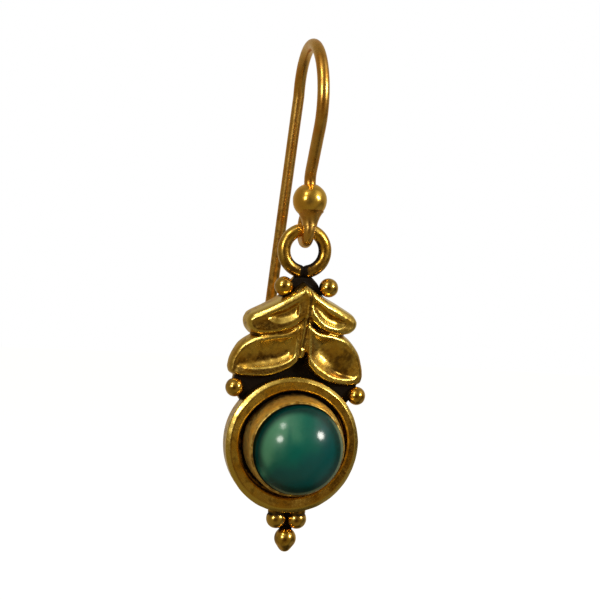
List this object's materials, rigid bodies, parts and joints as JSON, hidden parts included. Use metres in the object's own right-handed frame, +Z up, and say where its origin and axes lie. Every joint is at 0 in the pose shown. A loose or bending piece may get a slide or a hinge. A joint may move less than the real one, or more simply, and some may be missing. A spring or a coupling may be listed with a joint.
{
  "type": "drop earring with a fish-hook wire and a cabochon setting",
  "caption": "Drop earring: a fish-hook ear wire with a bead and an eye carries a brass drop of curved leaves, granules and a flat ring round a teal onyx cabochon in a bezel cup.",
  "frame": {"origin": "inner top of the hook's arch, where the pierced ear lobe carries the earring", "axes": "+X to the right of the drop's face, +Y to the back, where the long leg of the hook is, +Z up"},
  "size_m": [0.0099, 0.0117, 0.0352],
  "materials": {
    "hook_brass": "drawn wire, polished, warm gold with faint draw lines",
    "bead_brass": "polished bead with a soft worn shine",
    "setting_brass": "aged brass, polished on the rims and blackened in the hollows",
    "teal_onyx": "polished translucent teal onyx with a milky cloud on one side"
  },
  "bodies": {
    "hook": {"ear_hook": "hook_brass", "hook_bead": "bead_brass"},
    "drop": {"drop_setting": "setting_brass", "onyx_cabochon": "teal_onyx"}
  },
  "joints": [
    {"name": "drop_swing", "type": "hinge", "parent": "hook", "child": "drop", "pos_m": [0.00053, 0.00109, -0.01343], "axis": [0, 0.9962, 0.0872], "range_deg": [-90, 90]}
  ]
}
